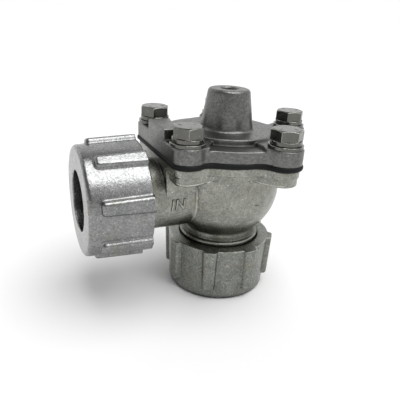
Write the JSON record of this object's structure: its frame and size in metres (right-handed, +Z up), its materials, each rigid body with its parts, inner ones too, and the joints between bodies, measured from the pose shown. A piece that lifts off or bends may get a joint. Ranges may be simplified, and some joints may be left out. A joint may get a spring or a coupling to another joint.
{
  "type": "right-angle pulse valve",
  "caption": "Right-angle diaphragm pulse valve: cast body, bolted cover with a tapped pilot tower, and ribbed compression nuts for plain pipe.",
  "frame": {"origin": "centre of the outlet nut's end face, on which the valve stands", "axes": "+Z up the outlet axis to the pilot tower, -X out of the inlet"},
  "size_m": [0.1208, 0.089, 0.1041],
  "materials": {
    "valve_body": "sand-rough casting",
    "cover": "dull dark casting",
    "diaphragm": "matt",
    "cover_bolts": "satin",
    "flat_washers": "satin",
    "spring_washers": "satin",
    "upper_plate": "satin",
    "seat_disc": "matt",
    "seat_keeper": "satin",
    "centre_screw": "satin",
    "hub_nut": "satin",
    "return_spring": "satin",
    "outlet_nut": "shot-blasted casting",
    "outlet_thrust_washer": "satin",
    "outlet_seal_ring": "matt",
    "inlet_nut": "shot-blasted casting",
    "inlet_thrust_washer": "satin",
    "inlet_seal_ring": "matt"
  },
  "bodies": {
    "valve": {"valve_body": "valve_body", "cover": "cover", "diaphragm": "diaphragm", "cover_bolts": "cover_bolts", "flat_washers": "flat_washers", "spring_washers": "spring_washers", "return_spring": "return_spring", "outlet_seal_ring": "outlet_seal_ring", "inlet_seal_ring": "inlet_seal_ring"},
    "diaphragm_stack": {"upper_plate": "upper_plate", "seat_disc": "seat_disc", "seat_keeper": "seat_keeper", "centre_screw": "centre_screw", "hub_nut": "hub_nut"},
    "outlet_gland": {"outlet_thrust_washer": "outlet_thrust_washer"},
    "outlet_nut": {"outlet_nut": "outlet_nut"},
    "inlet_gland": {"inlet_thrust_washer": "inlet_thrust_washer"},
    "inlet_nut": {"inlet_nut": "inlet_nut"}
  },
  "joints": [
    {"name": "diaphragm_lift", "type": "slide", "parent": "valve", "child": "diaphragm_stack", "axis": [0, 0, 1], "range_m": [0, 0.005], "stiffness_N_per_m": 800, "springref_m": -0.004, "deforming": ["return_spring", "diaphragm"]},
    {"name": "outlet_nut_travel", "type": "slide", "parent": "valve", "child": "outlet_gland", "axis": [0, 0, -1], "range_m": [0, 0.003]},
    {"name": "outlet_nut_turn", "type": "hinge", "parent": "outlet_gland", "child": "outlet_nut", "pos_m": [0, 0, 0], "axis": [0, 0, -1], "range_deg": [0, 540]},
    {"name": "inlet_nut_travel", "type": "slide", "parent": "valve", "child": "inlet_gland", "axis": [-1, 0, 0], "range_m": [0, 0.003]},
    {"name": "inlet_nut_turn", "type": "hinge", "parent": "inlet_gland", "child": "inlet_nut", "pos_m": [-0.0745, 0, 0.0537], "axis": [-1, 0, 0], "range_deg": [0, 540]}
  ],
  "couplings": [
    {"joint": "outlet_nut_travel", "follows": "outlet_nut_turn", "m_per_rad": 0.00031831},
    {"joint": "inlet_nut_travel", "follows": "inlet_nut_turn", "m_per_rad": 0.00031831}
  ]
}
